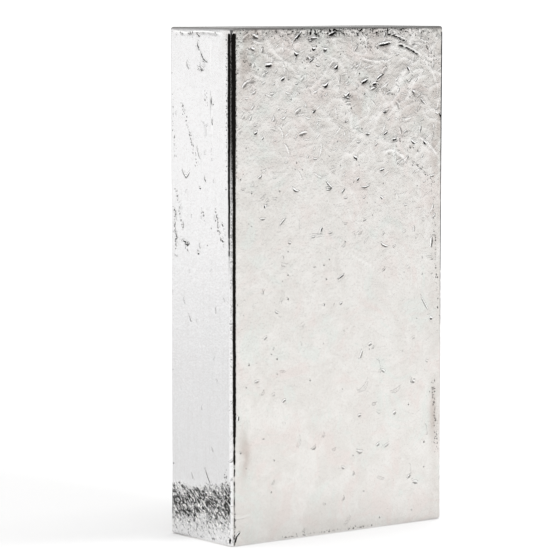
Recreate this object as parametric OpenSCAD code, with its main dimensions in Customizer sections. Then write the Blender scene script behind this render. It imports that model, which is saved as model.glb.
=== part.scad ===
/* [Body] */
// Length of the ingot, which stands on one end
length = 140; // [120:1:180]
// Width of the two broad faces
width = 74.5; // [60:0.5:95]
// Thickness between the broad faces
thickness = 28.5; // [20:0.5:40]

/* [Edges] */
// Radius along the four long edges
long_edge_r = 1.4; // [1:0.1:3]
// Radius around the two end faces, smaller than the radius along the long edges
end_edge_r = 0.8; // [0.4:0.1:0.9]

/* [Hidden] */

$fn = 64;
silver = [0.87, 0.86, 0.84];

// Half sizes up to where the long edges start to turn
flat_x = width / 2 - long_edge_r;
flat_y = thickness / 2 - long_edge_r;

// Outline of a lengthwise section, half_w to each side, with its four corners rounded
module lengthwise_section(half_w) {
    inner_w = half_w - end_edge_r;
    translate([-half_w, end_edge_r])
        square([2 * half_w, length - 2 * end_edge_r]);
    translate([-inner_w, 0])
        square([2 * inner_w, length]);
    for (side = [-1, 1], z = [end_edge_r, length - end_edge_r])
        translate([side * inner_w, z])
            circle(r = end_edge_r);
}

// The metal between two opposite long edges, run_half to each side of the middle
module slab(half_w, run_half) {
    translate([0, run_half, 0])
        rotate([90, 0, 0])
            linear_extrude(height = 2 * run_half)
                lengthwise_section(half_w);
}

// One long edge: a round post whose two ends are eased as the end faces are
module long_edge() {
    rotate_extrude()
        intersection() {
            lengthwise_section(long_edge_r);
            square([long_edge_r, length]);
        }
}

// The ingot, cast in one piece: a plain bar with every edge rounded
module ingot() {
    color(silver)
        union() {
            slab(width / 2, flat_y);
            rotate([0, 0, 90])
                slab(thickness / 2, flat_x);
            for (x = [-flat_x, flat_x], y = [-flat_y, flat_y])
                translate([x, y, 0])
                    long_edge();
        }
}

ingot();
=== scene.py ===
"""Cast silver ingot standing on one end: relief skin, black painted shade in its scars, pale
studio.
"""

import math

import bpy
import numpy as np
from mathutils import Matrix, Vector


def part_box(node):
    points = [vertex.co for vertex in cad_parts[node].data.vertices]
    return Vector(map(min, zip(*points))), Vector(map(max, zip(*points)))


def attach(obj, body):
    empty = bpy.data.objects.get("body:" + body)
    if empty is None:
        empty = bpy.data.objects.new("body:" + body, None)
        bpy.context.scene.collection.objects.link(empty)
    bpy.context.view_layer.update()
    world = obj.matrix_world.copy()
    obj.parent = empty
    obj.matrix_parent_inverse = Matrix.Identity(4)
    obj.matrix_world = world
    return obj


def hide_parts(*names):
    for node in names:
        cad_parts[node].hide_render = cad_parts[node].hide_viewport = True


MM = 0.001

# --- the frame

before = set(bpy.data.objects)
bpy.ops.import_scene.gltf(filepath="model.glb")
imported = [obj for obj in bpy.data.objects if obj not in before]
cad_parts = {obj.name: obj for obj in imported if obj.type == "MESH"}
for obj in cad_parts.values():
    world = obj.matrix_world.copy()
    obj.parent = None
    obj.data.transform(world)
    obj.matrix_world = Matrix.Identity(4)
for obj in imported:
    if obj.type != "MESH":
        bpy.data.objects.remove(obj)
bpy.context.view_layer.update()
box_low, box_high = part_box("ingot")

half_width = (box_high.x - box_low.x) / 2 / MM
half_thickness = (box_high.y - box_low.y) / 2 / MM
length = (box_high.z - box_low.z) / MM

long_edge_r = 1.4
end_edge_r = 0.8

# --- camera

# in millimetres, and turned clockwise seen from above
camera_place = (-515.12, -661.11, 150.08)
camera_turn = math.radians(37.390)
camera_dip = math.radians(5.497)
camera_roll = math.radians(0.023)
camera_lens = 193.88


def pose(right, up, back, place):
    """The placing that turns +X to right, +Y to up and +Z to back, at place in metres."""
    rows = np.stack([right, up, back, place], axis=1)
    return Matrix(np.vstack([rows, [0, 0, 0, 1]]).tolist())


def add_camera():
    """A long lens that looks along a heading turned from +Y and dipped below level."""
    turn, dip, roll = camera_turn, camera_dip, camera_roll
    ahead = np.array(
        [math.sin(turn) * math.cos(dip), math.cos(turn) * math.cos(dip), -math.sin(dip)]
    )
    right = np.array([math.cos(turn), -math.sin(turn), 0.0])
    up = np.cross(right, ahead)
    rolled_right = math.cos(roll) * right + math.sin(roll) * up
    rolled_up = math.cos(roll) * up - math.sin(roll) * right
    data = bpy.data.cameras.new("camera")
    data.lens = camera_lens
    data.sensor_width = 36.0
    data.clip_start = 0.01
    data.clip_end = 200.0
    camera = bpy.data.objects.new("camera", data)
    bpy.context.scene.collection.objects.link(camera)
    camera.matrix_world = pose(rolled_right, rolled_up, -ahead, np.array(camera_place) * MM)
    bpy.context.scene.camera = camera


# --- noise


def gradient_noise(points, seed):
    """Smooth noise, about -1 to 1, from random slopes at whole-number points.

    Each point takes the eight corner slopes of its cell, each slope times the step
    to its corner, blended with the 6t^5 - 15t^4 + 10t^3 ease.
    """
    rng = np.random.default_rng(seed)
    order = rng.permutation(256)
    slopes = rng.normal(size=(256, 3))
    slopes /= np.linalg.norm(slopes, axis=1)[:, None]
    cell = np.floor(points).astype(np.int64)
    part = points - cell
    ease = part**3 * (part * (part * 6 - 15) + 10)
    total = np.zeros(len(points))
    for corner in np.ndindex(2, 2, 2):
        at = (cell + corner) & 255
        pick = order[(order[(order[at[:, 0]] + at[:, 1]) & 255] + at[:, 2]) & 255]
        share = np.where(np.array(corner, bool), ease, 1 - ease).prod(axis=1)
        total += share * ((part - corner) * slopes[pick]).sum(axis=1)
    return total * 1.6


def layered_noise(points, size, seed, layers=4, gain=0.5):
    """Sum of gradient noise, each layer half the size and gain times the height."""
    total = np.zeros(len(points))
    height = 1.0
    for layer in range(layers):
        total += height * gradient_noise(points / size, seed + layer)
        size *= 0.5
        height *= gain
    return total


def flat_noise(u, v, size_u, size_v, seed):
    """Gradient noise on two numbers, with its own size along each."""
    points = np.stack([u / size_u, v / size_v, np.full(len(u), 0.37)], axis=1)
    return gradient_noise(points, seed)


def ramp(values, start, end):
    """0 before start, 1 after end, with the 3t^2 - 2t^3 ease between."""
    t = np.clip((values - start) / (end - start), 0, 1)
    return t * t * (3 - 2 * t)


def bell(values, centre, reach):
    """A bell of height 1 at centre that falls off over reach."""
    return np.exp(-(((values - centre) / reach) ** 2))


# --- rounded block

# cells round a quarter of a turn, and over each flat
long_edge_steps = 8
end_edge_steps = 4
cells_x = 150
cells_y = 50
cells_z = 302
# how far apart the rows of cells are at each height, in millimetres
gap_heights = (0, 17, 28, 80, 105, 140)
row_gaps = (0.36, 0.36, 0.62, 0.62, 0.38, 0.34)
flat_x = half_width - long_edge_r
flat_y = half_thickness - long_edge_r


def uneven_shares(count, run, heights, gaps):
    """Shares from 0 to 1 with the wanted gap at each height along a run.

    One over the gap is summed along the run and turned round, so that each step
    of the sum is one row.
    """
    fine = np.linspace(0, run, 4000)
    density = 1 / np.interp(fine, heights, gaps)
    summed = np.concatenate([[0], np.cumsum((density[1:] + density[:-1]) / 2)])
    summed /= summed[-1]
    return np.interp(np.linspace(0, 1, count + 1), summed, fine) / run


def lattice_lines(shares, steps):
    """For one axis: the flat share, the corner share and its side, per lattice line.

    The first and last few lines lie on the corners. The corner share is the tangent
    of an even angle, 0 where the flat ends and 1 at half the turn.
    """
    corner = np.tan(math.pi / 4 * np.arange(1, steps + 1) / steps)
    flat = np.concatenate([np.zeros(steps), shares, np.ones(steps)])
    lift = np.concatenate([corner[::-1], np.zeros(len(shares)), corner])
    side = np.concatenate([-np.ones(steps), np.zeros(len(shares)), np.ones(steps)])
    return flat, lift, side


rows_x = lattice_lines(np.linspace(0, 1, cells_x + 1), long_edge_steps)
rows_y = lattice_lines(np.linspace(0, 1, cells_y + 1), long_edge_steps)
rows_z = lattice_lines(
    uneven_shares(cells_z, length - 2 * end_edge_r, gap_heights, row_gaps), end_edge_steps
)
lattice = (len(rows_x[0]), len(rows_y[0]), len(rows_z[0]))

# which axis each side of the block faces along, at which end, and its cell width
sides = {
    "front": (1, 0, 1),
    "left": (0, 0, 1),
    "back": (1, 1, 2),
    "right": (0, 1, 2),
    "bottom": (2, 0, 2),
    "top": (2, 1, 2),
}


def lattice_face(axis, end, step):
    """Corner and mid-edge lattice points of each cell on one side of the block.

    Returns an array of cells by 8 points by 3 indices, in a ring that turns
    anticlockwise seen from outside. Even places are corners, odd ones mid-edges.
    """
    a, b = [k for k in range(3) if k != axis]
    starts = [np.arange(0, lattice[k] - 1, step) for k in (a, b)]
    ia, ib = np.meshgrid(*starts)
    ring = np.array([[0, 0], [1, 0], [2, 0], [2, 1], [2, 2], [1, 2], [0, 2], [0, 1]], float)
    if (end == 1) == (axis == 1):
        ring = np.roll(ring[::-1], 1, axis=0)
    cells = np.zeros((ia.size, 8, 3))
    cells[:, :, a] = ia.ravel()[:, None] + ring[:, 0] * step / 2
    cells[:, :, b] = ib.ravel()[:, None] + ring[:, 1] * step / 2
    cells[:, :, axis] = (lattice[axis] - 1) * end
    return cells


def block_faces():
    """Lattice index of every cell corner, the corners per cell, and the side of each.

    Cells are fine on the front and left side and twice as wide elsewhere. A wide
    cell keeps a mid-edge point only where a fine neighbour uses it, so the skin
    stays closed with a few five-sided cells along the change.
    """
    used = np.zeros(lattice, bool)
    loops, sizes, names = [], [], []
    for name, (axis, end, step) in sides.items():
        at = lattice_face(axis, end, step)
        if step == 1:
            at = at[:, ::2].astype(int)
            used[at[..., 0], at[..., 1], at[..., 2]] = True
            keep = np.ones(at.shape[:2], bool)
        else:
            at = at.astype(int)
            corner = np.all(at % 2 == 0, axis=2)
            keep = corner | used[at[..., 0], at[..., 1], at[..., 2]]
        loops.append(at[keep])
        sizes.append(keep.sum(axis=1))
        names.append(np.full(keep.sum(), name))
    return np.concatenate(loops), np.concatenate(sizes), np.concatenate(names)


def block_points(index):
    """Place and outward direction of each lattice point on the rounded block.

    Seen from above, the point lies on a rectangle with round corners. Its height
    follows a quarter circle at each end, which draws the rectangle in.
    """
    fx, lx, sx = (row[index[:, 0]] for row in rows_x)
    fy, ly, sy = (row[index[:, 1]] for row in rows_y)
    fz, lz, sz = (row[index[:, 2]] for row in rows_z)
    reach = np.maximum(lx, ly)
    spread = np.maximum(np.hypot(lx, ly), 1e-9)
    out_x = lx * sx / spread
    out_y = ly * sy / spread
    on_end = (lz > 1 - 1e-9) & (reach < 1 - 1e-9)
    # the turn of the end's round edge: 0 on the wall, a quarter turn on the end face
    share = np.arctan(reach) / (math.pi / 4)
    first = 1 / long_edge_steps
    turn_end = math.pi / 4 * (1 + np.clip((1 - share) / (1 - first), 0, 1))
    turn = np.where(on_end, turn_end, np.arctan(lz))
    past_round = np.where(on_end, np.clip((first - share) / first, 0, 1), 0)
    drawn_in = end_edge_r * (1 - np.cos(turn))
    drawn_in += past_round * (long_edge_r - end_edge_r)
    radius = long_edge_r - drawn_in
    x = flat_x * (2 * fx - 1) + radius * out_x
    y = flat_y * (2 * fy - 1) + radius * out_y
    z = end_edge_r + (length - 2 * end_edge_r) * fz + sz * end_edge_r * np.sin(turn)
    level = np.cos(turn)
    outward = np.stack([level * out_x, level * out_y, np.sin(turn) * sz], axis=1)
    on_flat_end = on_end & ((turn > math.pi / 2 - 1e-6) | (reach < 1e-9))
    outward[on_flat_end] = 0
    outward[on_flat_end, 2] = sz[on_flat_end]
    outward /= np.linalg.norm(outward, axis=1)[:, None]
    return np.stack([x, y, z], axis=1), outward


def unrolled(index, names):
    """The skin laid out flat, in millimetres: distance round the walls, and height.

    The distance starts at the near long edge, positive over the front and right
    side, negative over the left side and back. End faces keep their plain x and y.
    """

    def along(rows, which, flat, radius):
        share, lift, side = (row[which] for row in rows)
        return flat * (2 * share - 1) + side * radius * np.arctan(lift)

    run_x = flat_x + long_edge_r * math.pi / 4
    run_y = flat_y + long_edge_r * math.pi / 4
    half_z = length / 2
    x = along(rows_x, index[:, 0], flat_x, long_edge_r)
    y = along(rows_y, index[:, 1], flat_y, long_edge_r)
    z = half_z + along(rows_z, index[:, 2], half_z - end_edge_r, end_edge_r)
    u = np.select(
        [names == "front", names == "left", names == "right", names == "back"],
        [run_x + x, -run_y - y, 2 * run_x + run_y + y, -2 * run_y - run_x - x],
        x,
    )
    on_end = (names == "bottom") | (names == "top")
    return u, np.where(on_end, y, z)


# --- cast surface


def turned(u, v, lean):
    """Distances along an axis that leans by so many degrees, and across it."""
    c, s = math.cos(math.radians(lean)), math.sin(math.radians(lean))
    return u * c + v * s, v * c - u * s


def furrows(u, v, marks):
    """Height of short bent furrows, with the mark field the material draws them from.

    A mark is (u, v, run, width, lean in degrees, bend, depth, rim). Along its axis
    a furrow thins out to both ends. Across it the floor is a bell, and a low rim
    stands on the upper side. Each point near a mark keeps its place in the mark's
    own axes, in shares of half its run and of its width, then its depth, which fades
    to nothing about a millimetre out so that marks don't mix, and its bend.
    """
    height = np.zeros(len(u))
    field = np.tile([9.0, 9.0, 0.0, 0.0], (len(u), 1))
    closest = np.full(len(u), 9.0)
    for mark in marks:
        run, wide, lean, bend, deep, rim = mark[2:]
        reach = run / 2 + 5 * wide + 0.9
        near = np.abs(u - mark[0]) < reach
        near = np.flatnonzero(near & (np.abs(v - mark[1]) < reach))
        if not len(near):
            continue
        along, across = turned(u[near] - mark[0], v[near] - mark[1], lean)
        gap = np.hypot(np.maximum(np.abs(along) - run / 2, 0), across)
        along = along / (run / 2 + wide)
        across = across / wide
        bent = across - bend * (along**2 - 0.4)
        end = np.clip(1 - along**2, 0, 1)
        floor = np.sqrt(end) * bell(bent, 0, 1.3)
        lip = end * bell(bent, 2.4, 1.2)
        height[near] += 0.8 * deep * (rim * lip - floor)
        nearer = gap < closest[near]
        at = near[nearer]
        closest[at] = gap[nearer]
        faded = deep * (1 - ramp(gap - wide, 0.6, 1.0))
        field[at] = np.stack([along, across, faded, np.full(len(gap), bend)], 1)[nearer]
    return height, field


def smooth_line(points, count=90):
    """A line through a few points, sampled evenly and rounded by a running mean."""
    points = np.array(points, float)
    steps = np.hypot(*np.diff(points, axis=0).T)
    at = np.concatenate([[0], np.cumsum(steps)])
    even = np.linspace(0, at[-1], count)
    line = np.stack([np.interp(even, at, points[:, k]) for k in range(2)], axis=1)
    reach = count // 8
    padded = np.pad(line, ((reach, reach), (0, 0)), mode="edge")
    kernel = np.ones(2 * reach + 1) / (2 * reach + 1)
    return np.stack([np.convolve(padded[:, k], kernel, "valid") for k in range(2)], 1)


def cold_shut(u, v, points, wide, deep, rim, seed):
    """Height, painted shade along the floor and a painted highlight on the lip of a long seam
    where two flows of metal met, unjoined.

    The seam is a narrow furrow along a line, which comes and goes by noise, with a
    soft lip on its left side.
    """
    line = smooth_line(points)
    low, high = line.min(axis=0) - 5 * wide, line.max(axis=0) + 5 * wide
    inside = (u > low[0]) & (u < high[0]) & (v > low[1]) & (v < high[1])
    near = np.flatnonzero(inside)
    away = np.stack([u[near], v[near]], axis=1)[:, None, :] - line[None]
    gap = np.hypot(away[..., 0], away[..., 1])
    closest = gap.argmin(axis=1)
    pick = np.arange(len(near))
    ahead = np.gradient(line, axis=0)
    ahead /= np.linalg.norm(ahead, axis=1)[:, None]
    step = away[pick, closest]
    turn = ahead[closest]
    across = (turn[:, 0] * step[:, 1] - turn[:, 1] * step[:, 0]) / wide
    spread = gap[pick, closest] / wide
    share = closest / (len(line) - 1)
    end = ramp(share, 0, 0.15) * (1 - ramp(share, 0.8, 1))
    broken = ramp(flat_noise(u[near], v[near], 1.3, 1.3, seed), -0.75, 0.0)
    floor = end * broken * bell(spread, 0, 1)
    lip = end * bell(across, 2.2, math.sqrt(2)) * np.exp(-((spread / 5) ** 4))
    # rows: height, painted shade along the furrow's floor, painted highlight on the lip
    seam = np.zeros((3, len(u)))
    seam[0, near] = deep * (rim * lip - floor)
    seam[1, near] = end * broken * np.clip(1 - spread / 2.6, 0, 1) * min(1.1, deep / 0.2)
    seam[2, near] = lip * min(0.75, rim * deep / 0.12)
    return seam


def painted_strings(u, v, strings):
    """A soft mask along short strings of specks: (first u, v, last u, v, reach)."""
    mask = np.zeros(len(u))
    for u0, v0, u1, v1, reach in strings:
        run = np.array([u1 - u0, v1 - v0])
        share = ((u - u0) * run[0] + (v - v0) * run[1]) / max(run @ run, 1e-6)
        share = np.clip(share, 0, 1)
        gap = np.hypot(u - u0 - share * run[0], v - v0 - share * run[1])
        mask = np.maximum(mask, bell(gap, 0, reach))
    return mask


# where small dark specks lie in strings: from u, v to u, v, and how wide
speck_strings = [
    (-1.4, 138, -1.5, 114, 0.6),
    (-1.9, 118, -1.5, 102, 0.25),
    (1.8, 138, 1.6, 127, 0.45),
    (1.6, 127, 1.5, 100, 0.25),
    (-25.8, 90.5, -25.6, 83.5, 0.55),
    (-25.3, 83, -24.8, 77, 0.5),
    (-23.6, 89.6, -21.8, 85, 0.45),
    (-22.4, 82, -19, 81, 0.5),
    (-20.8, 80.5, -18.5, 78.5, 0.4),
    (-24.8, 95.5, -22.6, 88.5, 0.6),
    (-13.2, 91.5, -11.3, 87, 0.5),
    (-6.6, 91, -4.2, 83, 0.7),
    (-15.5, 138.4, -13, 137.6, 0.6),
    (-11.2, 122, -10.6, 119, 0.5),
    (-26.5, 122, -25.5, 104, 0.4),
    (-22, 119, -15, 103, 0.7),
    (4, 131.5, 8.5, 128.5, 0.9),
    (26, 136.8, 30, 136.2, 0.7),
    (24.5, 131, 29, 132, 0.8),
    (44, 136, 50, 134, 0.9),
    (50, 124, 56, 121, 0.5),
    (60, 124, 65, 117, 0.5),
    (66, 137, 71, 130, 0.9),
    (58, 108.5, 66, 104.5, 0.4),
    (62, 103, 71, 96, 0.6),
    (70.5, 40, 72.3, 20, 0.8),
    (70, 96, 72.5, 60, 0.4),
    (18, 0.9, 48, 0.9, 0.35),
    (0.9, 16, 0.9, 2, 0.2),
    (-2, 20, -2.3, 6, 0.8),
    (80, 120, 84, 100, 1.2),
    (95, 60, 97, 45, 1),
    (-60, 40, -45, 30, 1.6),
    (-90, 60, -80, 42, 1.6),
    (-98, 20, -70, 12, 1.8),
]


# scars of the front face: u, v, run, width, lean, bend, depth, rim
front_scars = [
    (22.4, 137.4, 3.2, 0.22, 40, 0.4, 0.3, 0.5),
    (34.2, 138.1, 2.6, 0.22, 20, -0.6, 0.26, 0.5),
    (45.7, 124.8, 2.2, 0.26, 24, 0.2, 0.34, 0.6),
    (51.3, 126.2, 3, 0.2, 30, -0.4, 0.16, 0.7),
    (49.2, 124.1, 1.4, 0.24, 12, 0, 0.22, 0.5),
    (48.9, 122.9, 2.4, 0.18, 22, 0.2, 0.12, 0.7),
    (35.6, 128.9, 1.4, 0.28, 35, 1.5, 0.26, 0.5),
    (31.9, 124, 1.9, 0.28, 20, 2.2, 0.28, 0.7),
    (39.9, 121.4, 0.9, 0.22, 40, 0, 0.26, 0.3),
    (39.2, 120.7, 2.2, 0.22, -24, 1.9, 0.15, 0.9),
    (7.8, 137.4, 1.5, 0.28, -20, 0.2, 0.15, 0.3),
    (6.9, 134.2, 1.1, 0.2, -25, 0.9, 0.14, 0.8),
    (10.4, 133.8, 0.9, 0.24, 60, 0, 0.1, 0.4),
    (12.4, 129.7, 2, 0.28, 5, 0.6, 0.2, 0.4),
    (17.2, 126, 1.1, 0.22, 30, 0.4, 0.24, 0.6),
    (21.7, 132.7, 1.4, 0.22, -20, 2, 0.2, 0.9),
    (27.7, 134, 1.1, 0.22, -10, 1.9, 0.2, 0.9),
    (31.6, 133.7, 1.1, 0.24, -5, 1.7, 0.16, 0.8),
    (27.8, 136.9, 2, 0.18, 0, 0.4, 0.14, 0.4),
    (27, 130.9, 1.6, 0.2, 35, 0.2, 0.16, 0.5),
    (42.6, 133.9, 1.8, 0.18, 45, 0, 0.1, 0.6),
    (52.7, 135, 4.2, 0.26, 8, 0.6, 0.24, 0.3),
    (52.9, 137.8, 1.6, 0.18, 68, 0, 0.14, 0.6),
    (61, 128.2, 1.2, 0.2, -50, 0.2, 0.16, 0.9),
    (63, 121.5, 1.2, 0.2, -48, 0.2, 0.14, 0.9),
    (66.3, 119, 2.3, 0.17, -42, 0.6, 0.12, 0.9),
    (73, 115, 1.1, 0.18, -60, 1.7, 0.22, 0.7),
    (52.8, 116.2, 1.2, 0.17, 0, 0.2, 0.2, 0.5),
    (53.2, 110.4, 1.6, 0.17, 32, 0, 0.2, 0.9),
    (46.7, 110.3, 1.2, 0.21, -8, 0.6, 0.14, 0.4),
    (56.3, 108.6, 1.5, 0.2, 10, 0.8, 0.18, 0.8),
    (63, 107.6, 1.7, 0.17, -30, 1.7, 0.17, 0.9),
    (67.1, 107.4, 1.1, 0.2, -40, 0.4, 0.24, 0.6),
    (42.3, 104, 1.1, 0.2, -25, 1.2, 0.18, 0.6),
    (51.9, 100.3, 1.4, 0.17, 15, 0.8, 0.18, 0.8),
    (43.4, 98, 0.9, 0.18, 40, 0, 0.18, 0.5),
    (38.2, 95, 1.3, 0.15, 45, 0, 0.2, 0.5),
    (45.9, 95.8, 2.8, 0.15, 8, 2.2, 0.14, 0.9),
    (33.2, 95.6, 1.9, 0.15, 12, 2, 0.12, 0.8),
    (33, 96.9, 2.6, 0.15, -42, 1.4, 0.13, 0.8),
    (21.4, 95.8, 2.3, 0.17, -26, 1.9, 0.15, 1),
    (51.7, 92.5, 0.8, 0.17, -35, 0.9, 0.14, 0.9),
    (8, 111.7, 1.1, 0.18, 20, 1.5, 0.24, 0.8),
    (10.4, 110.2, 0.6, 0.17, 60, 0, 0.14, 0.3),
    (28, 117, 1.3, 0.18, 34, 0, 0.18, 0.6),
    (11, 91.8, 0.6, 0.17, -60, 0, 0.24, 0.5),
    (10.2, 88.4, 1.5, 0.14, 0, 0, 0.12, 0.4),
    (17.2, 87.4, 2.6, 0.15, 44, -1.4, 0.12, 0.6),
    (30.6, 84.8, 0.8, 0.17, 48, 0, 0.18, 0.7),
    (33.7, 83.6, 1.1, 0.14, 14, 0, 0.11, 0.5),
    (27.6, 82.7, 1.3, 0.14, 4, 0, 0.09, 0.5),
    (19.5, 81.5, 0.7, 0.18, -20, 0.4, 0.11, 0.9),
    (52.7, 79.2, 2.6, 0.17, -24, 2, 0.13, 1.1),
    (37.4, 71.3, 2.1, 0.14, 28, 0, 0.24, 0.6),
    (37.4, 63.9, 0.7, 0.15, 20, 0, 0.14, 0.5),
    (31.6, 64, 0.6, 0.15, 60, 0, 0.12, 0.4),
    (67.4, 62.1, 4.7, 0.14, -56, 0.6, 0.1, 0.7),
    (69.9, 57.6, 0.7, 0.24, 0, 0, 0.14, 0.3),
    (15, 62.9, 1.1, 0.15, -30, 1.5, 0.1, 0.8),
    (11.3, 56.1, 1, 0.18, 30, 0, 0.09, 0.5),
    (47.8, 51.8, 0.8, 0.22, 20, 0, 0.1, 0.5),
    (52.5, 44, 0.9, 0.2, -30, 0, 0.1, 0.6),
    (8.3, 44.4, 1.1, 0.18, 10, 0.4, 0.09, 0.5),
    (63.4, 40.1, 0.8, 0.22, 0, 0, 0.11, 0.5),
    (17.7, 38.4, 1, 0.2, 25, 0, 0.11, 0.6),
    (2.2, 35, 0.9, 0.22, 80, 0, 0.13, 0.5),
    (44.1, 32.1, 0.8, 0.2, 15, 0, 0.1, 0.5),
    (50.8, 23.4, 0.9, 0.2, 30, 0, 0.1, 0.6),
    (38.2, 18, 0.8, 0.18, -20, 0, 0.09, 0.5),
    (62.1, 13.3, 1, 0.2, 35, 0, 0.1, 0.5),
    (-0.5, 1.7, 0.9, 0.28, 80, 0, 0.3, 0.8),
    (1.3, 2, 1.3, 0.24, 70, 0, 0.26, 0.8),
    (2, 3.2, 1.6, 0.18, 42, 0, 0.2, 0.5),
]

# scars of the narrow left side: u is negative there
left_scars = [
    (-14.7, 135, 1.5, 0.2, -60, 0, 0.26, 0.4),
    (-12.8, 132.3, 2.4, 0.16, -56, 0, 0.3, 0.4),
    (-11.3, 131.1, 1.9, 0.14, -28, 0.2, 0.14, 0.5),
    (-14.5, 128.8, 0.5, 0.13, 40, 0, 0.18, 0.3),
    (-13, 128.4, 0.5, 0.13, 40, 0, 0.18, 0.3),
    (-14.3, 137.8, 1.2, 0.16, -30, 0.4, 0.16, 0.3),
    (-21.3, 100, 2.6, 0.16, -48, 0.3, 0.13, 0.5),
    (-19.4, 99.8, 2.2, 0.16, 46, 0, 0.13, 0.5),
    (-25.7, 89.9, 0.8, 0.18, -40, 0, 0.2, 0.5),
    (-25.6, 86.2, 0.9, 0.18, 80, 0, 0.2, 0.4),
    (-25, 83, 1.2, 0.18, -60, 0, 0.22, 0.5),
    (-21.6, 86, 1.6, 0.14, 88, 0.2, 0.16, 0.5),
    (-21, 81.6, 1.6, 0.18, -10, 0, 0.22, 0.5),
    (-19.4, 80.8, 1.3, 0.16, 30, 0, 0.2, 0.5),
    (-14.6, 78.7, 0.5, 0.18, 0, 0, 0.2, 0.4),
    (-13.8, 96.5, 0.5, 0.18, 0, 0, 0.2, 0.4),
    (-11.6, 99.1, 1.4, 0.14, -65, 0, 0.16, 0.5),
    (-3.6, 87.2, 0.7, 0.18, -50, 0, 0.2, 0.3),
    (-3.6, 82.9, 0.5, 0.18, 0, 0, 0.2, 0.4),
    (-18.5, 60.5, 1.3, 0.26, -56, 0.4, 0.1, 0.9),
    (-8.5, 120.3, 1.7, 0.2, -85, 0, 0.13, 0.4),
    (-8.2, 114.8, 1.5, 0.2, -85, 0, 0.14, 0.4),
    (-14.7, 106.2, 3.1, 0.16, -68, 0, 0.09, 0.6),
    (-10.6, 18, 4.6, 0.14, -58, 0.3, 0.16, 0.5),
]


def seeded_marks(seed, low_u, high_u, count, share_at, lean, spread, biggest):
    """Small marks strewn over a band of the walls, thicker where share_at is high."""
    rng = np.random.default_rng(seed)
    u = rng.uniform(low_u, high_u, count)
    v = rng.uniform(1.0, length - 1.0, count)
    kept = rng.uniform(size=count) < share_at(u, v)
    size = rng.uniform(size=count) ** 2.2
    run = 0.5 + 1.6 * rng.uniform(size=count) * (0.4 + size)
    wide = rng.uniform(0.15, 0.28, count)
    turn = rng.normal(lean, spread, count)
    bend = rng.normal(0.3, 0.7, count)
    deep = 0.04 + biggest * size
    rim = rng.uniform(0.3, 1.0, count)
    return np.stack([u, v, run, wide, turn, bend, deep, rim], axis=1)[kept]


def front_share(u, v):
    """The front's marks crowd towards its top and its right margin."""
    return 0.05 + 0.85 * ramp(v, 85, 132) + 0.25 * ramp(u, 40, 72) * ramp(v, 60, 100)


def back_share(u, v):
    """The back's marks crowd towards its lower half."""
    return 0.15 + 0.65 * (1 - ramp(v, 20, 75))


def side_share(u, v):
    """The narrow sides carry few marks, a little more about the middle."""
    return 0.25 + 0.4 * bell(v, 84, 18)


def wall_marks():
    """Every short mark on the four walls."""
    return np.concatenate(
        [
            front_scars,
            left_scars,
            seeded_marks(11, 2, 72, 420, front_share, 30, 38, 0.09),
            seeded_marks(12, -102, -32, 420, back_share, -25, 45, 0.14),
            seeded_marks(13, -27, -2, 90, side_share, -75, 30, 0.05),
            seeded_marks(14, 76, 101, 110, side_share, 70, 35, 0.12),
        ]
    )


# the crinkled belt on the left side: its lower and upper edge, and its folds' lean
belt_low = 6.4
belt_high = 14.4
belt_lean = -38


def crinkle(u, v):
    """Fine folds in a belt near the foot, where the skin froze while it slid.

    Noise stretched along a leaning axis, bent by slower noise. The belt's two edges
    wander together. Returns the height and how strong the folds are.
    """
    level = v + 1.5 * flat_noise(u, v, 4.0, 4.0, 61) - 0.1 * (u + 14)
    strong = ramp(level, belt_low - 2.2, belt_low + 1.2)
    strong *= 1 - ramp(level, belt_high - 2.2, belt_high + 2.8)
    along, across = turned(u, v, belt_lean)
    across += 0.35 * flat_noise(u, v, 2.4, 2.4, 62)
    folds = flat_noise(along, across, 1.7, 0.75, 63)
    folds += 0.5 * flat_noise(along, across, 1.1, 0.45, 64)
    return folds, strong


# long seams: points of the line, width, depth, rim, seed
seams = [
    ([(53, 138.2), (56, 137.4), (61, 135.6)], 0.17, 0.3, 0.4, 31),
    ([(56.6, 135.3), (61.5, 133.7), (66.4, 131.2)], 0.17, 0.32, 0.5, 32),
    ([(65.6, 131.6), (69.5, 127), (72, 121.5)], 0.24, 0.07, 0.9, 33),
    ([(64.5, 109), (68, 107), (71.8, 103.2)], 0.24, 0.09, 1, 34),
    ([(10.5, 135), (17.5, 130.5), (25, 124.5)], 0.26, 0.04, 1, 35),
    ([(52, 104.5), (55.5, 105.3), (59.5, 103), (60, 100.5)], 0.3, 0.08, 0.9, 36),
    ([(38, 78.5), (43, 75.8), (49, 72.8)], 0.15, 0.06, 0.6, 37),
    ([(40.5, 78.8), (43, 77.5), (45.5, 76.4)], 0.15, 0.05, 0.6, 38),
    ([(43, 131.2), (47.5, 130.2), (51.5, 129.9)], 0.18, 0.1, 0.6, 39),
    ([(-9.2, 139), (-8.9, 122), (-8.2, 106)], 0.13, 0.13, 0.3, 40),
    ([(-27, 138.7), (-20, 138), (-13, 138.6), (-2, 137.9)], 0.22, 0.12, 0.8, 41),
    ([(-1.4, 9.6), (0.8, 7.6), (3, 7.4), (6.4, 8.2)], 0.16, 0.07, 0.6, 42),
]


def brushed(u, v, lean, run, gap, seed):
    """Ridged noise drawn out along a lean, and bent by slower noise: 0 to about 1.

    The crest, 1 - |noise|, leaves thin ridges with wide soft valleys between them.
    """
    bend_u = 1.6 * flat_noise(u, v, 9.0, 9.0, seed) + 0.5 * flat_noise(u, v, 2.5, 2.5, seed + 1)
    bend_v = 1.6 * flat_noise(u, v, 9.0, 9.0, seed + 2)
    along, across = turned(u + bend_u, v + bend_v, lean)
    return 1 - np.abs(flat_noise(along, across, run, gap, seed + 3))


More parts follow.
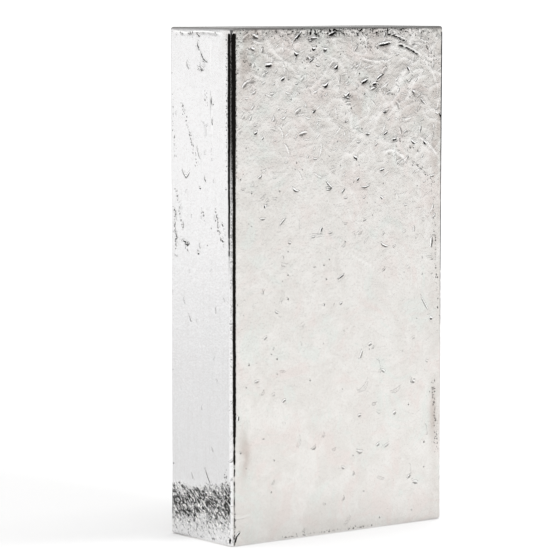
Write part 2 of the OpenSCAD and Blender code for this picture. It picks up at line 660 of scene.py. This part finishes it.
def edge_folds(u, v):
    """Height of the folds beside the four long edges, the black painted reflection along them,
    and a grey painted reflection on the near edge's round.

    A fold is a bell deep, with a low lip on both sides, narrower where it is
    fainter. The near edge has a wide fold on its front side, the whole height,
    and a thin broken one on its left side, only in the upper half. The other three
    edges have a weaker broken fold each.
    """
    waver = 0.05 * flat_noise(v, v * 0, 7.0, 1.0, 51) + 0.03 * flat_noise(v, v * 0, 1.3, 1.0, 52)
    ragged = flat_noise(v, v * 0, 2.2, 1.0, 53)
    dotted = flat_noise(v, v * 0, 1.1, 1.0, 54)
    beads = 0.6 * dotted * bell(v, 26.0, 9.0)
    below_top = 1 - ramp(v, 138.0, 138.9)
    height = np.zeros(len(u))
    darkened = np.zeros(len(u))
    # centre, half width, full from, faint below, how faint, how broken
    folds = [
        (0.78, 0.29, 40.0, 16.0, 0.36, ragged * 0.15 + beads),
        (-0.62, 0.22, 96.0, 66.0, 0.0, dotted * 0.6),
        (73.4, 0.16, 110.0, 20.0, 0.1, dotted * 0.5),
        (-28.3, 0.18, 90.0, 30.0, 0.1, ragged * 0.6),
        (101.2, 0.20, 100.0, 40.0, 0.1, dotted * 0.6),
    ]
    for centre, half, full, gone, least, broken in folds:
        present = (least + (1 - least) * ramp(v, gone, full)) * below_top
        broken = broken * (present > 0.35)
        wider = 1 + 0.4 * ramp(v, 92, 118)
        wider *= 0.5 + 0.5 * present
        away = np.abs(u + waver - centre) / (half * wider)
        height -= 0.10 * present * bell(away, 0, 1)
        height += 0.03 * present * bell(away, 2.2, math.sqrt(0.5))
        # black painted reflection along the fold
        stain = np.clip(1.5 - away / 1.5, 0, 1.1) * np.clip(present * 1.3 + broken, 0, 1)
        darkened = np.maximum(darkened, stain)
    # grey painted reflection on the near edge's round, in its upper part
    fillet_reflection = 1.2 * bell(u, 0.2, 0.6) * ramp(v, 90, 112) * below_top
    return height, darkened, fillet_reflection


def rolling_skin(place, u, v, busy, broad):
    """Height of the rolling skin with its laps and knots, and the crests of the laps.

    The laps are two sets of drawn-out ridges that lean opposite ways, in patches.
    """
    skin = layered_noise(place, 5.0, 5, 3, 0.55)
    laps = brushed(u, v, 42, 6.5, 3.0, 81) ** 8
    cross = brushed(u, v, -38, 6.0, 3.4, 85) ** 9
    knots = layered_noise(place + 0.8 * skin[:, None], 2.4, 21, 2)
    patch = ramp(layered_noise(place, 16.0, 25, 2), -0.2, 0.5)
    crest = np.maximum(laps * patch, 0.8 * cross * (1 - patch))
    height = 0.034 * (0.3 + busy) * skin
    height += 0.075 * (0.06 + busy) * broad * crest
    height += 0.030 * (0.2 + busy) * (0.3 + 0.7 * broad) * knots
    return height, crest


# how far the crust runs down from the top end
crust_run = 3.6


def rim_crust(place, u, front, wall):
    """Height of the rough crust on the rim of the top end, its darkening where the grit sinks,
    and its share.
    """
    crust = ramp(place[:, 2], length - crust_run, length - crust_run / 2) * wall
    crust *= (0.45 + 0.55 * bell(u, 40, 27)) * np.maximum(front, 0.3)
    grit = layered_noise(place, 0.9, 71, 2)
    return crust * (0.10 * grit - 0.06), 0.8 * crust * ramp(-grit, -0.1, 0.5), crust


def brown_stains(u, v):
    """Blotted brown stains down the margins of the broad faces, and a few spots."""
    margins = [
        bell(u, 71.5, 2.6) * (0.2 + 0.6 * bell(v, 108, 22) + 0.4 * bell(v, 30, 8)),
        0.8 * bell(u, 4.0, 6.0) * ramp(v, 112, 134),
        0.7 * bell(u, 46, 12) * bell(v, 120, 7),
        0.8 * bell(u, 4.4, 1.6) * bell(v, 25, 7),
        0.6 * bell(u, -96, 5.0) * (1 - ramp(v, 40, 90)),
    ]
    spots = 1.1 * bell(u, 4.2, 1.7) * bell(v, 25, 6)
    spots += 1.0 * bell(u, 70.8, 1.4) * bell(v, 30, 8)
    spots += 0.4 * bell(u, 63, 8) * bell(v, 118, 9)
    blots = flat_noise(u, v, 3.2, 6.5, 95) + 0.6 * flat_noise(u, v, 1.2, 2.4, 96)
    stain = np.maximum.reduce(margins) * ramp(blots, -0.35, 0.5)
    return np.maximum(stain, spots * ramp(blots, -1.6, 0.0))


def ingot_relief(place, outward, u, v):
    """Height of the cast skin over the plain block, and the masks painted on it."""
    wall = ramp(np.hypot(outward[:, 0], outward[:, 1]), 0.55, 0.85)
    front = ramp(-outward[:, 1], 0.75, 0.97)
    left = ramp(-outward[:, 0], 0.75, 0.97)
    broad = ramp(np.abs(outward[:, 1]), 0.75, 0.97)
    # how worked the skin is: most at the top of the front and at the foot of the back
    top_share = ramp(v + 0.35 * u, 80, 158)
    busy = np.where(place[:, 1] < 0, top_share, 1 - ramp(place[:, 2], 10, 90))
    busy = broad * (0.12 + 0.88 * busy) + (1 - broad) * 0.08
    height, crest = rolling_skin(place, u, v, busy, broad)
    # slow waves of the whole casting
    height += 0.07 * layered_noise(place, 36.0, 1, 2)
    # drag streaks up and down the narrow sides
    streaks = flat_noise(u, v, 0.9, 16.0, 91) + 0.5 * flat_noise(u, v, 0.5, 7.0, 92)
    height += 0.008 * (1 - broad) * wall * streaks
    # short marks, long seams and folds
    marks, field = furrows(u, v, wall_marks())
    field[:, 2] *= wall
    cut, darkened, fillet_reflection = edge_folds(u, v)
    height += (marks + cut) * wall
    # painted highlight along the crests of the laps, most where the skin is worked
    painted_highlight = 0.55 * crest * busy
    # each seam cuts its furrow, with painted shade along it and a painted highlight on its lip
    for points, wide, deep, rim, seed in seams:
        cut, dark, lip = cold_shut(u, v, points, wide, deep, rim, seed)
        height += cut * wall
        darkened = np.maximum(darkened, dark)
        painted_highlight = np.maximum(painted_highlight, lip)
    # the belt at the foot of the left side, and the duller skin under it
    folds, strong = crinkle(u, v)
    belt = strong * left
    under = left * (1 - ramp(v, 6.0, 8.5)) * (1 - strong) * (0.45 + 0.55 * ramp(v, 1.0, 6.0))
    height += (0.10 * belt + 0.03 * under) * folds
    rough, dark, crust = rim_crust(place, u, front, wall)
    height += rough
    # the foot stays flat
    height *= 1 - ramp(-outward[:, 2], 0.2, 0.7)
    return height, {
        "darkened": np.maximum(darkened, dark) * wall,
        "fillet_reflection": fillet_reflection * wall,
        "painted_highlight": painted_highlight * wall,
        # where the belt's folds lie: the material paints highlights on their crests and dark
        # reflections in their creases
        "belt_folds": belt + 0.45 * under,
        "busy": busy * wall + 0.30 * (1 - wall),
        # the narrow sides: smoother, and painted a lighter tone
        "narrow_sides": (1 - broad) * wall,
        "specks": np.maximum(painted_strings(u, v, speck_strings), crust) * wall,
        "stain": brown_stains(u, v) * wall,
        "bend": field[:, 3],
        "mark": field[:, :3],
    }


def build_ingot():
    """The whole skin of the ingot as one closed mesh, with its unrolled map."""
    loops, sizes, names = block_faces()
    flat = (loops[:, 0] * lattice[1] + loops[:, 1]) * lattice[2] + loops[:, 2]
    ids, first, corner = np.unique(flat, return_index=True, return_inverse=True)
    index = np.stack(np.unravel_index(ids, lattice), axis=1)
    place, outward = block_points(index)
    u, v = unrolled(index, names[first])
    height, masks = ingot_relief(place, outward, u, v)
    skin = place + outward * height[:, None]
    skin[:, 2] = np.maximum(skin[:, 2], 0)
    mesh = bpy.data.meshes.new("cast_ingot")
    mesh.vertices.add(len(skin))
    mesh.vertices.foreach_set("co", (skin * MM).astype(np.float32).ravel())
    mesh.loops.add(len(corner))
    mesh.loops.foreach_set("vertex_index", corner.astype(np.int32).ravel())
    starts = np.concatenate([[0], np.cumsum(sizes)[:-1]])
    mesh.polygons.add(len(sizes))
    mesh.polygons.foreach_set("loop_start", starts.astype(np.int32))
    mesh.update(calc_edges=True)
    mesh.shade_smooth()
    for name, values in masks.items():
        kind = "FLOAT_VECTOR" if values.ndim == 2 else "FLOAT"
        attribute = mesh.attributes.new(name, kind, "POINT")
        target = "vector" if values.ndim == 2 else "value"
        attribute.data.foreach_set(target, values.astype(np.float32).ravel())
    layer = mesh.uv_layers.new(name="skin_map")
    skin_map = np.stack(unrolled(loops, names), axis=1)
    layer.uv.foreach_set("vector", skin_map.astype(np.float32).ravel())
    mesh.validate()
    ingot = bpy.data.objects.new("cast_ingot", mesh)
    bpy.context.scene.collection.objects.link(ingot)
    return ingot


# --- material


class NodeBench:
    """Short ways to add and join nodes in one node tree."""

    def __init__(self, tree):
        self.tree = tree

    def feed(self, socket, value):
        """Join value to the socket if it is another socket, else set it plainly."""
        if isinstance(value, bpy.types.NodeSocket):
            self.tree.links.new(value, socket)
        else:
            socket.default_value = value

    def add(self, kind, given=(), **settings):
        """A new node with its settings, and the given inputs fed by name or place."""
        node = self.tree.nodes.new(kind)
        for name, value in settings.items():
            setattr(node, name, value)
        for name, value in dict(given).items():
            self.feed(node.inputs[name], value)
        return node

    def math(self, operation, *values):
        """A math node's result."""
        node = self.add("ShaderNodeMath", enumerate(values), operation=operation)
        return node.outputs["Value"]

    def times(self, first, second):
        """The product of two numbers."""
        return self.math("MULTIPLY", first, second)

    def minus(self, first, second):
        """The first number less the second."""
        return self.math("SUBTRACT", first, second)

    def over(self, first, second):
        """The first number divided by the second."""
        return self.math("DIVIDE", first, second)

    def line(self, value, slope, start):
        """slope * value + start."""
        return self.math("MULTIPLY_ADD", value, slope, start)

    def most(self, first, *others):
        """The greatest of several numbers."""
        for value in others:
            first = self.math("MAXIMUM", first, value)
        return first

    def vector(self, operation, *values):
        """A vector math node's result."""
        node = self.add("ShaderNodeVectorMath", enumerate(values), operation=operation)
        as_number = operation in ("DOT_PRODUCT", "LENGTH")
        return node.outputs["Value" if as_number else "Vector"]

    def split(self, vector):
        """The three numbers of a vector."""
        return self.add("ShaderNodeSeparateXYZ", {0: vector}).outputs

    def noise(self, vector, scale, detail, roughness, distortion):
        """Noise as a number about 0.5."""
        names = ("Vector", "Scale", "Detail", "Roughness", "Distortion")
        given = zip(names, (vector, scale, detail, roughness, distortion))
        return self.add("ShaderNodeTexNoise", given).outputs["Fac"]

    def remap(self, value, low, high, to_low=0.0, to_high=1.0):
        """A number eased from one span to another."""
        names = ("Value", "From Min", "From Max", "To Min", "To Max")
        given = zip(names, (value, low, high, to_low, to_high))
        node = self.add("ShaderNodeMapRange", given, interpolation_type="SMOOTHSTEP")
        return node.outputs["Result"]

    def mix(self, share, first, second):
        """Two colours mixed."""
        node = self.add("ShaderNodeMix", {0: share, 6: first, 7: second}, data_type="RGBA")
        return node.outputs[2]


def grey(value):
    """A grey colour, from 0 for black to 1 for white."""
    return (value, value, value, 1)


def new_material(name):
    """A node material, a bench for its tree, and its Principled shader."""
    material = bpy.data.materials.new(name)
    material.use_nodes = True
    bench = NodeBench(material.node_tree)
    return material, bench, material.node_tree.nodes["Principled BSDF"]


def new_group(name, inputs, outputs):
    """A shader node group with named inputs and outputs, all numbers but for a Map."""
    group = bpy.data.node_groups.new(name, "ShaderNodeTree")
    for way, sockets in (("INPUT", inputs), ("OUTPUT", outputs)):
        for socket in sockets:
            kind = "NodeSocketVector" if socket == "Map" else "NodeSocketFloat"
            group.interface.new_socket(socket, in_out=way, socket_type=kind)
    bench = NodeBench(group)
    given = bench.add("NodeGroupInput").outputs
    result = bench.add("NodeGroupOutput").inputs
    return group, bench, given, result


def use_group(bench, group, **given):
    """One use of a node group, with the given inputs fed: returns its outputs."""
    return bench.add("ShaderNodeGroup", given, node_tree=group).outputs


scar_outputs = ("Ink", "Rim", "Height")
# how far a scar's rim stands from its line, in widths
rim_offset = 2.2


def scar_shape():
    """Node group: one scar in its own axes, where 1 along is its end.

    The scar's line is Across = Bend (Along^2 - 0.4). Ink lies where the distance
    from the line, plus Along^2, is under about 1. Rim is the same about a line 2.2
    widths further up, a little wider. Height is 0.7 Rim less Ink. Ragged, noise
    about 0.5, pushes both axes to and fro.
    """
    inputs = ("Along", "Across", "Bend", "Ragged")
    group, bench, given, result = new_group("scar_shape", inputs, scar_outputs)
    wobble = bench.minus(given["Ragged"], 0.5)
    along = bench.line(wobble, 0.9, given["Along"])
    square = bench.times(along, along)
    curve = bench.times(given["Bend"], bench.minus(square, 0.4))
    across = bench.minus(given["Across"], curve)
    across = bench.line(wobble, 2.2, across)
    off_floor = bench.math("ADD", bench.math("ABSOLUTE", across), square)
    off_rim = bench.math("ABSOLUTE", bench.minus(across, rim_offset))
    off_rim = bench.line(square, 0.8, off_rim)
    ink = bench.remap(off_floor, 1.22, 0.85)
    rim = bench.remap(off_rim, 1.6, 0.8)
    bench.feed(result["Ink"], ink)
    bench.feed(result["Rim"], rim)
    bench.feed(result["Height"], bench.line(rim, 0.7, bench.times(ink, -1.0)))
    return group


def scattered_scars(shape):
    """Node group: scars strewn one to a cell over a flat map in millimetres.

    Each cell turns its scar by its own random angle, sizes it from 0.4 to 1.2, and
    keeps it only where its lot is under Presence.
    """
    inputs = ("Map", "Cell", "Run", "Width", "Lean", "Spread", "Bend", "Presence", "Ragged")
    group, bench, given, result = new_group("scattered_scars", inputs, scar_outputs)
    per_cell = bench.over(1.0, given["Cell"])
    sockets = {0: given["Map"], "Scale": per_cell}
    scaled = bench.add("ShaderNodeVectorMath", sockets, operation="SCALE").outputs[0]
    sockets = {"Vector": scaled, "Scale": 1.0}
    cells = bench.add("ShaderNodeTexVoronoi", sockets, voronoi_dimensions="2D", feature="F1")
    x, y, _ = bench.split(bench.vector("SUBTRACT", scaled, cells.outputs["Position"]))
    dice = bench.add("ShaderNodeSeparateColor", {0: cells.outputs["Color"]})
    lot, size, turn = dice.outputs
    angle = bench.line(bench.minus(turn, 0.5), given["Spread"], given["Lean"])
    c, s = bench.math("COSINE", angle), bench.math("SINE", angle)
    along = bench.line(x, c, bench.times(y, s))
    across = bench.minus(bench.times(y, c), bench.times(x, s))
    grown = bench.over(given["Cell"], bench.line(size, 0.8, 0.4))
    scar = use_group(
        bench,
        shape,
        Along=bench.times(along, bench.over(grown, given["Run"])),
        Across=bench.times(across, bench.over(grown, given["Width"])),
        Bend=bench.times(given["Bend"], bench.minus(size, 0.3)),
        Ragged=given["Ragged"],
    )
    present = bench.math("LESS_THAN", lot, given["Presence"])
    for name in scar_outputs:
        bench.feed(result[name], bench.times(scar[name], present))
    return group


def terraces(bench, value, steps):
    """A number turned into soft stairs: flat treads with steep rises between."""
    scaled = bench.times(value, steps)
    tread = bench.math("FLOOR", scaled)
    rise = bench.remap(bench.math("FRACT", scaled), 0.22, 0.78)
    return bench.over(bench.math("ADD", tread, rise), steps)


def painted(bench, name, output="Fac"):
    """One of the masks painted on the mesh."""
    return bench.add("ShaderNodeAttribute", attribute_name=name).outputs[output]


# what ingot_relief paints on the mesh, besides the field of marks
mask_names = ("darkened", "fillet_reflection", "painted_highlight", "belt_folds", "busy", "narrow_sides", "specks", "stain", "bend")

# noise at several sizes: features to the metre, detail, roughness, distortion
silver_noises = {
    "blush": (85.0, 4.0, 0.6, 1.0),
    "flow": (95.0, 2.0, 0.5, 1.2),
    "clouds": (110.0, 4.0, 0.65, 0.8),
    "mottle": (450.0, 4.0, 0.65, 1.2),
    "pits": (1500.0, 2.0, 0.5, 0.6),
    "grain": (1700.0, 2.0, 0.6, 0.0),
    "ragged": (2400.0, 2.0, 0.6, 0.0),
}

# small scars strewn over the skin, in millimetres and radians
fleck = {"Cell": 0.95, "Run": 0.26, "Width": 0.17, "Lean": 0.7, "Spread": 2.4, "Bend": 0.6}
comma = {"Cell": 3.5, "Run": 0.70, "Width": 0.15, "Lean": 0.6, "Spread": 1.8, "Bend": 2.6}
arc = {"Cell": 5.7, "Run": 1.8, "Width": 0.22, "Lean": 0.8, "Spread": 2.6, "Bend": 4.0}

# the silver's tones, in the order they are laid over each other
silver_tones = {
    "dull": (0.657, 0.639, 0.612, 1),
    "bright": (0.703, 0.688, 0.664, 1),
    "rosy": (0.680, 0.622, 0.598, 1),
    "greenish": (0.650, 0.678, 0.648, 1),
    # painted light: the lighter tone of the narrow sides
    "side_light": (0.786, 0.786, 0.794, 1),
    "stained": (0.43, 0.37, 0.335, 1),
    "dragged": (0.66, 0.655, 0.65, 1),
    "shaded": (0.44, 0.40, 0.37, 1),
    # painted highlights on rims, lips and the laps' crests
    "highlight_white": (0.98, 0.975, 0.965, 1),
    # painted highlights on the belt's crests
    "crested": (0.98, 0.97, 0.95, 1),
    # painted dark reflections in the belt's creases
    "creased": (0.022, 0.021, 0.019, 1),
    # near black: painted shade in small scars, and dark pits
    "near_black": (0.06, 0.055, 0.05, 1),
    "black": (0.010, 0.009, 0.008, 1),
}


def silver_skin(bench):
    """The masks, noises and scars that the silver's tone, gloss and relief draw on."""
    place = bench.add("ShaderNodeTexCoord").outputs["Object"]
    flat = bench.add("ShaderNodeUVMap", uv_map="skin_map").outputs["UV"]
    skin = {name: painted(bench, name) for name in mask_names}
    for name, values in silver_noises.items():
        skin[name] = bench.noise(place, *values)
    skin["laps"] = terraces(bench, skin["flow"], 8.0)
    # streaks drawn down the walls, and wrinkles drawn out along the belt's lean
    drawn = bench.vector("MULTIPLY", flat, (1.3, 0.07, 1))
    skin["streaks"] = bench.noise(drawn, 1.0, 4.0, 0.6, 0.6)
    sockets = {"Vector": flat, "Angle": math.radians(-belt_lean)}
    leaned = bench.add("ShaderNodeVectorRotate", sockets, rotation_type="Z_AXIS")
    drawn = bench.vector("MULTIPLY", leaned.outputs[0], (0.55, 1.35, 1))
    skin["wrinkle"] = bench.noise(drawn, 1.0, 3.0, 0.62, 1.4)
    # named scars, then small ones: specks in strings, commas and long light arcs
    shape = scar_shape()
    along, across, skin["deep"] = bench.split(painted(bench, "mark", "Vector"))
    ragged = skin["ragged"]
    own = {"Along": along, "Across": across, "Bend": skin["bend"]}
    skin["named"] = use_group(bench, shape, Ragged=ragged, **own)
    busy = skin["busy"]
    strewn = scattered_scars(shape)
    for name, look, presence in (
        ("fleck", fleck, bench.line(busy, 0.03, bench.times(skin["specks"], 0.70))),
        ("comma", comma, bench.line(busy, 0.75, -0.04)),
        ("arc", arc, bench.line(busy, 0.9, -0.04)),
    ):
        skin[name] = use_group(
            bench, strewn, Map=flat, Ragged=ragged, Presence=presence, **look
        )
    return skin


def silver_ink(bench, skin):
    """Share of black: the darkened mask with a ragged edge, and painted shade in the floors of
    named scars.
    """
    darkened = bench.line(bench.minus(skin["ragged"], 0.5), 0.7, skin["darkened"])
    floors = bench.times(skin["named"]["Ink"], bench.remap(skin["deep"], 0.0, 0.20))
    return bench.most(bench.remap(darkened, 0.42, 0.60), floors)


def silver_shares(bench, skin, ink):
    """How much of each tone is laid over the ones before it."""
    busy, narrow_sides, belt_folds = skin["busy"], skin["narrow_sides"], skin["belt_folds"]
    # darker grain and hollows where the skin is worked
    speckled = bench.remap(skin["grain"], 0.60, 0.36)
    shade = bench.times(bench.line(busy, 0.27, 0.09), speckled)
    hollow = bench.times(busy, bench.remap(skin["mottle"], 0.54, 0.38, 0.0, 0.24))
    # painted highlights on the rims of the scars and the lips of commas and arcs; the painted
    # highlight mask adds the laps' crests and the seams' lips
    rims = bench.times(skin["named"]["Rim"], bench.remap(skin["deep"], 0.03, 0.16))
    lips = bench.line(skin["arc"]["Rim"], 0.5, bench.times(skin["comma"]["Rim"], 0.8))
    lips = bench.times(lips, bench.remap(busy, 0.10, 0.50))
    # painted highlights on the crests and black painted reflections in the creases of the
    # crinkled belt
    wrinkle = skin["wrinkle"]
    thinned = bench.math("ADD", wrinkle, bench.line(belt_folds, -0.15, 0.15))
    crest = bench.remap(wrinkle, 0.545, 0.60, 0.0, 0.9)
    crease = bench.remap(thinned, 0.545, 0.46)
    # near black: painted shade in faint commas and flecks, pits in the speck strings, the
    # darkened mask's edge, and the grey painted reflection on the near edge
    faint = bench.remap(skin["clouds"], 0.42, 0.60, 0.0, 0.6)
    pits = bench.remap(skin["pits"], 0.565, 0.625)
    thin = (
        bench.times(skin["comma"]["Ink"], faint),
        bench.times(skin["fleck"]["Ink"], 0.93),
        bench.times(pits, bench.remap(skin["specks"], 0.45, 0.95, 0.0, 0.85)),
        bench.remap(skin["darkened"], 0.10, 0.45, 0.0, 0.30),
        bench.times(skin["fillet_reflection"], 0.8),
    )
    return {
        "bright": bench.remap(skin["clouds"], 0.38, 0.62),
        "rosy": bench.remap(skin["blush"], 0.52, 0.66, 0.0, 0.65),
        "greenish": bench.remap(skin["blush"], 0.46, 0.34, 0.0, 0.65),
        # painted light: the smoother narrow sides painted a lighter tone than the broad faces
        "side_light": bench.times(narrow_sides, 0.85),
        "stained": bench.times(skin["stain"], 0.7),
        "dragged": bench.times(narrow_sides, bench.remap(skin["streaks"], 0.46, 0.66, 0.0, 0.24)),
        "shaded": bench.most(shade, hollow),
        "highlight_white": bench.most(rims, lips, skin["painted_highlight"]),
        "crested": bench.times(crest, bench.remap(belt_folds, 0.1, 0.5)),
        "creased": bench.times(crease, bench.remap(belt_folds, 0.02, 0.30)),
        "near_black": bench.most(*thin),
        "black": ink,
    }


def silver_relief(bench, skin):
    """Height in millimetres of the relief too fine for the mesh: a weighted sum."""
    busy = skin["busy"]
    height = bench.times(skin["mottle"], bench.line(busy, 0.06, 0.06))
    for part, weight in (
        (skin["grain"], 0.037),
        (skin["laps"], bench.line(busy, 0.12, 0.04)),
        (bench.times(skin["deep"], skin["named"]["Height"]), 0.8),
        (skin["fleck"]["Height"], 0.060),
        (skin["comma"]["Height"], 0.090),
        (skin["arc"]["Height"], 0.055),
        (bench.times(skin["belt_folds"], skin["wrinkle"]), 0.60),
    ):
        height = bench.line(part, weight, height)
    return height


def cast_silver():
    """Satin cast silver: mottled tone, grain and small scars, black painted shade in the scars
    and painted highlights on their rims.
    """
    material, bench, shader = new_material("cast_silver")
    skin = silver_skin(bench)
    ink = silver_ink(bench, skin)
    tone = silver_tones["dull"]
    for name, share in silver_shares(bench, skin, ink).items():
        tone = bench.mix(share, tone, silver_tones[name])
    satin = bench.remap(skin["mottle"], 0.3, 0.7, 0.16, 0.25)
    satin = bench.times(satin, bench.line(skin["narrow_sides"], -0.25, 1.0))
    height = silver_relief(bench, skin)
    bump = bench.add("ShaderNodeBump", {"Strength": 1.0, "Distance": MM, "Height": height})
    shader.inputs["Metallic"].default_value = 1.0
    bench.feed(shader.inputs["Base Color"], tone)
    bench.feed(shader.inputs["Roughness"], bench.most(satin, bench.times(ink, 0.5)))
    bench.feed(shader.inputs["Normal"], bump.outputs["Normal"])
    return material


# --- studio

# headings round the ingot in degrees: 0 is out of the front face, 90 to the right
gap_heading = -47
left_heading = -142
right_heading = 130

# the lamp overhead, in metres
lamp_place = (0.1, 0.2, 1.8)
lamp_size = 1.6
lamp_watts = 22.0

# height up the surround, from 0 at the horizon to 1 straight up, and its brightness
surround = ((0.0, 1.0), (0.14, 0.68), (0.30, 0.50), (0.55, 0.40), (0.8, 0.34), (0.95, 0.5))


def facing(bench, direction, degrees):
    """Cosine between a direction laid level and a heading round the ingot."""
    turn = math.radians(degrees)
    level = bench.vector("NORMALIZE", bench.vector("MULTIPLY", direction, (1, 1, 0)))
    return bench.vector("DOT_PRODUCT", level, (math.sin(turn), -math.cos(turn), 0.0))


def front_gap(bench, direction):
    """How far a direction lies in the dark gap in front, where the camera stands."""
    toward = facing(bench, direction, gap_heading)
    return bench.remap(toward, math.cos(math.radians(40)), math.cos(math.radians(30)))


def add_floor():
    """A wide pale floor that glows a little.

    The glow rises away from the ingot as the overhead lamp's own light falls, with
    h the lamp's height and r the distance: 0.82 - 0.42 (h^2 / (h^2 + r^2))^2. It is
    raised close to the ingot and lowered behind it on the left. In reflections only,
    the floor is darker behind on the right, and dark far out in the front gap.
    """
    mesh = bpy.data.meshes.new("floor")
    reach = 60.0
    corners = [(-reach, -reach, 0), (reach, -reach, 0), (reach, reach, 0), (-reach, reach, 0)]
    mesh.from_pydata(corners, [], [(0, 1, 2, 3)])
    floor = bpy.data.objects.new("floor", mesh)
    bpy.context.scene.collection.objects.link(floor)
    material, bench, shader = new_material("pale_floor")
    place = bench.add("ShaderNodeTexCoord").outputs["Object"]
    seen = bench.add("ShaderNodeLightPath").outputs["Is Camera Ray"]
    mirrored = bench.minus(1.0, seen)
    out = bench.vector("LENGTH", place)
    height_squared = lamp_place[2] ** 2
    spread = bench.math("ADD", bench.times(out, out), height_squared)
    fall = bench.over(height_squared, spread)
    glow = bench.line(bench.times(fall, fall), -0.42, 0.82)
    near = bench.remap(out, 0.6, 0.15, 1.0, 1.12)
    left = bench.remap(facing(bench, place, left_heading), 0.55, 0.9, 0.0, 0.75)
    left = bench.times(left, bench.remap(out, 1.3, 0.1))
    glow = bench.times(glow, bench.minus(near, left))
    right = bench.remap(facing(bench, place, right_heading), 0.1, 0.7, 0.0, 0.32)
    right = bench.times(right, mirrored)
    glow = bench.times(glow, bench.minus(1.0, right))
    dark = bench.times(front_gap(bench, place), bench.remap(out, 1.2, 2.2))
    dark = bench.times(dark, mirrored)
    bench.feed(shader.inputs["Base Color"], bench.mix(dark, grey(0.88), grey(0.05)))
    bench.feed(shader.inputs["Emission Color"], bench.mix(dark, grey(1), grey(0)))
    bench.feed(shader.inputs["Emission Strength"], glow)
    shader.inputs["Roughness"].default_value = 0.9
    shader.inputs["Specular IOR Level"].default_value = 0.0
    mesh.materials.append(material)


def light_world():
    """A surround bright at the horizon, a dim ceiling, and the dark gap in front.

    It is brighter behind on the left and dimmer behind on the right, and the gap
    fades out overhead. Seen straight by the camera it is plain white.
    """
    world = bpy.data.worlds.new("studio")
    bpy.context.scene.world = world
    world.use_nodes = True
    bench = NodeBench(world.node_tree)
    back = world.node_tree.nodes["Background"]
    view = bench.add("ShaderNodeTexCoord").outputs["Generated"]
    up = bench.split(view)["Z"]
    bands = bench.add("ShaderNodeValToRGB", {"Fac": up})
    stops = bands.color_ramp.elements
    stops.remove(stops[1])
    for where, value in surround:
        stop = stops.new(where) if where else stops[0]
        stop.color = grey(value)
    left = bench.remap(facing(bench, view, left_heading), 0.6, 0.9, 1.0, 1.25)
    right = bench.remap(facing(bench, view, right_heading), 0.1, 0.7, 1.0, 0.80)
    strength = bench.times(bands.outputs["Color"], bench.times(left, right))
    gap = bench.times(front_gap(bench, view), bench.remap(up, 0.45, 0.20))
    strength = bench.times(strength, bench.line(gap, -0.9, 1.0))
    seen = bench.add("ShaderNodeLightPath").outputs["Is Camera Ray"]
    bench.feed(back.inputs["Strength"], bench.most(seen, strength))
    back.inputs["Color"].default_value = grey(1)


def add_lamp():
    """A square lamp overhead that looks at the middle of the ingot, unseen in gloss."""
    data = bpy.data.lights.new("overhead", "AREA")
    data.size = lamp_size
    data.energy = lamp_watts
    lamp = bpy.data.objects.new("overhead", data)
    bpy.context.scene.collection.objects.link(lamp)
    back = np.array(lamp_place) - [0.0, 0.0, length * MM / 2]
    back /= np.linalg.norm(back)
    side = np.cross([0.0, 1.0, 0.001], back)
    side /= np.linalg.norm(side)
    lamp.matrix_world = pose(side, np.cross(back, side), back, lamp_place)
    lamp.visible_glossy = False


bpy.context.scene.view_settings.view_transform = "Standard"
add_camera()
light_world()
add_floor()
add_lamp()
ingot = build_ingot()
ingot.data.materials.append(cast_silver())
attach(ingot, "root")
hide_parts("ingot")
